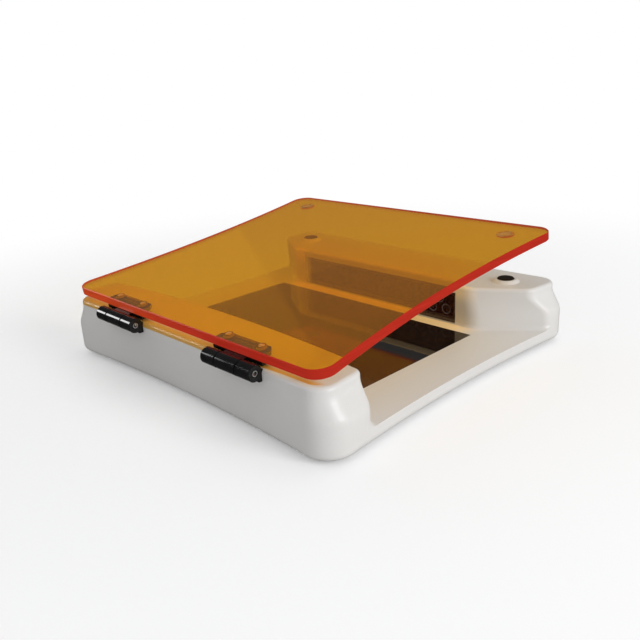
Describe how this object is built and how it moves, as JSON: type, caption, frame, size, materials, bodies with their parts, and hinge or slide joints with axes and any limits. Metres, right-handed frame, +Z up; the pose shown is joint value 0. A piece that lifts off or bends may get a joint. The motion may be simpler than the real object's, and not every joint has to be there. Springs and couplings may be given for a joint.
{
  "type": "blue light gel viewer",
  "caption": "Low white bench viewer for stained gels: a black viewing plate between two raised lamp blocks, under a hinged amber filter lid.",
  "frame": {"origin": "on the bench, below the middle of the footprint (hinge barrels included), at the height of the feet's undersides", "axes": "+X along the hinge line to the right as seen from the hinge side, +Y from the hinge wall to the far wall, +Z up"},
  "size_m": [0.2228, 0.208, 0.0669],
  "materials": {
    "white_housing": "glossy white moulded plastic",
    "black_base": "black powder coat",
    "steel_screw": "plain steel",
    "black_rubber": "black rubber",
    "black_gloss": "glossy black plastic",
    "dark_window": "dark blue filter pane",
    "led_lens": "clear blue lens",
    "board_green": "green solder mask",
    "bare_aluminium": "bare aluminium",
    "component_black": "black component body",
    "black_plastic": "black moulded plastic",
    "bright_metal": "bright plated metal",
    "lead_insulation": "red insulation",
    "amber_acrylic": "clear amber acrylic with polished faces",
    "brass_insert": "knurled brass",
    "steel_disc": "plain steel disc"
  },
  "bodies": {
    "housing": {"upper_housing": "white_housing", "base_plate": "black_base", "base_screws": "steel_screw", "rubber_feet": "black_rubber", "viewing_plate": "black_gloss", "front_led_window": "dark_window", "rear_led_window": "dark_window", "front_leds": "led_lens", "rear_leds": "led_lens", "front_led_board": "board_green", "rear_led_board": "board_green", "front_led_bracket": "bare_aluminium", "rear_led_bracket": "bare_aluminium", "bracket_screws": "steel_screw", "board_screws": "steel_screw", "driver_board": "board_green", "driver_components": "component_black", "driver_screws": "steel_screw", "dc_jack": "black_plastic", "jack_contact_pin": "bright_metal", "jack_nut": "bright_metal", "power_switch_body": "black_plastic", "left_rest_pad": "black_rubber", "right_rest_pad": "black_rubber", "left_wall_leaf": "black_gloss", "right_wall_leaf": "black_gloss", "wall_leaf_screws": "steel_screw", "left_hinge_pin": "bright_metal", "right_hinge_pin": "bright_metal", "supply_leads": "lead_insulation", "lamp_leads": "lead_insulation"},
    "lid_group": {"lid": "amber_acrylic", "left_lid_leaf": "black_gloss", "right_lid_leaf": "black_gloss", "lid_inserts": "brass_insert", "lid_screws": "steel_screw", "lid_discs": "steel_disc"},
    "rocker": {"power_rocker": "black_plastic"}
  },
  "joints": [
    {"name": "lid_hinge", "type": "hinge", "parent": "housing", "child": "lid_group", "pos_m": [0, -0.09989, 0.0343], "axis": [1, 0, 0], "range_deg": [-7.1, 102.9]},
    {"name": "power_switch", "type": "hinge", "parent": "housing", "child": "rocker", "pos_m": [-0.0085, 0.09952, 0.018], "axis": [1, 0, 0], "range_deg": [0, 22]}
  ]
}
